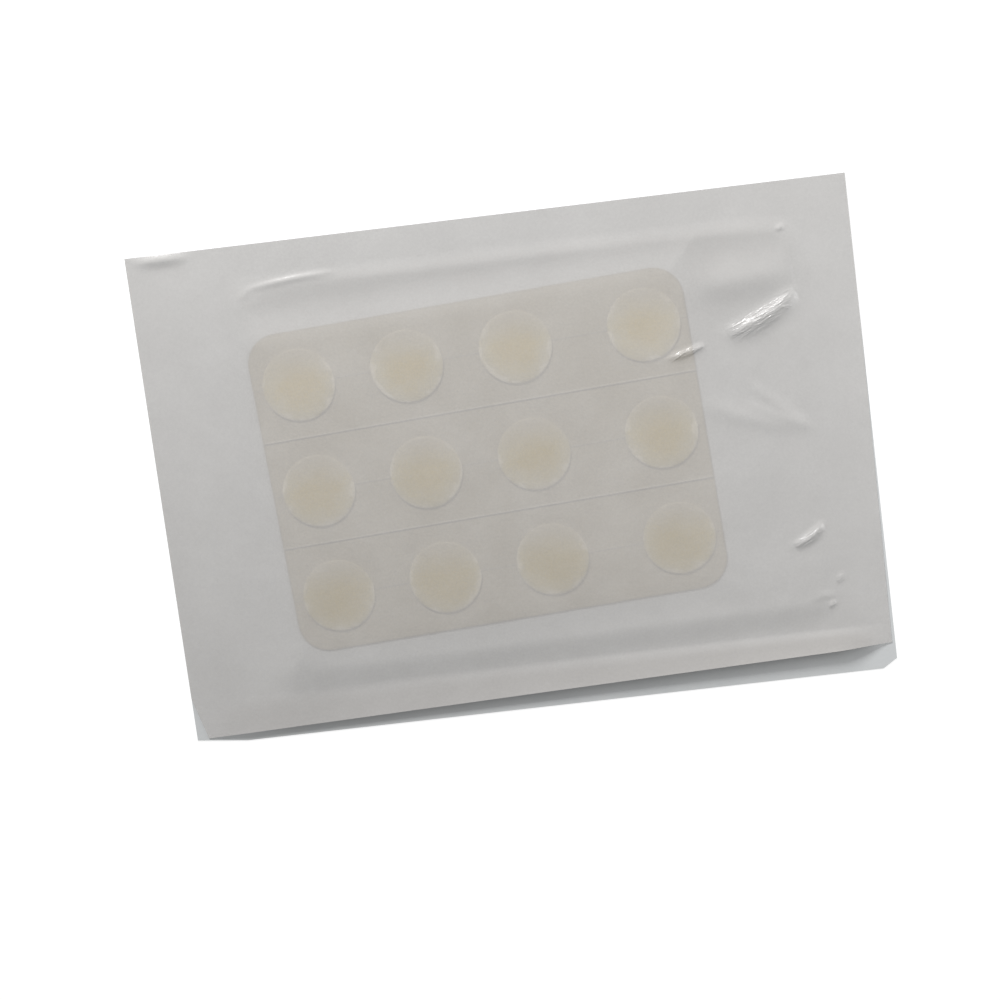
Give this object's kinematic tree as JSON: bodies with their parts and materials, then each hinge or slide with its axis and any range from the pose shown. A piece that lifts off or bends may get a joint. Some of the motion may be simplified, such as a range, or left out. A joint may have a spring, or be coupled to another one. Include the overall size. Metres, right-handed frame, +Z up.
{
  "type": "hydrocolloid acne patch pack",
  "caption": "Flat peel pouch of milky film on white paper, holding a release liner with rows of round hydrocolloid blemish patches.",
  "frame": {"origin": "middle of the paper's underside, in the plane that the pouch rests on", "axes": "+X along the pouch's long side towards its narrow end seal, +Y across it away from the peel lip, +Z up out of the film"},
  "size_m": [0.117, 0.0816, 0.0016],
  "materials": {
    "paper": "uncoated white medical paper",
    "film": "glossy milky laminate film, soft wrinkles",
    "liner": "satin silicone-coated liner, faint score lines",
    "hydrocolloid": "pale amber gel under a thin satin backing film"
  },
  "bodies": {
    "root": {"back_paper": "paper", "front_film": "film", "release_liner": "liner", "patch_r1c1": "hydrocolloid", "patch_r1c2": "hydrocolloid", "patch_r1c3": "hydrocolloid", "patch_r1c4": "hydrocolloid", "patch_r2c1": "hydrocolloid", "patch_r2c2": "hydrocolloid", "patch_r2c3": "hydrocolloid", "patch_r2c4": "hydrocolloid", "patch_r3c1": "hydrocolloid", "patch_r3c2": "hydrocolloid", "patch_r3c3": "hydrocolloid", "patch_r3c4": "hydrocolloid"}
  },
  "joints": []
}
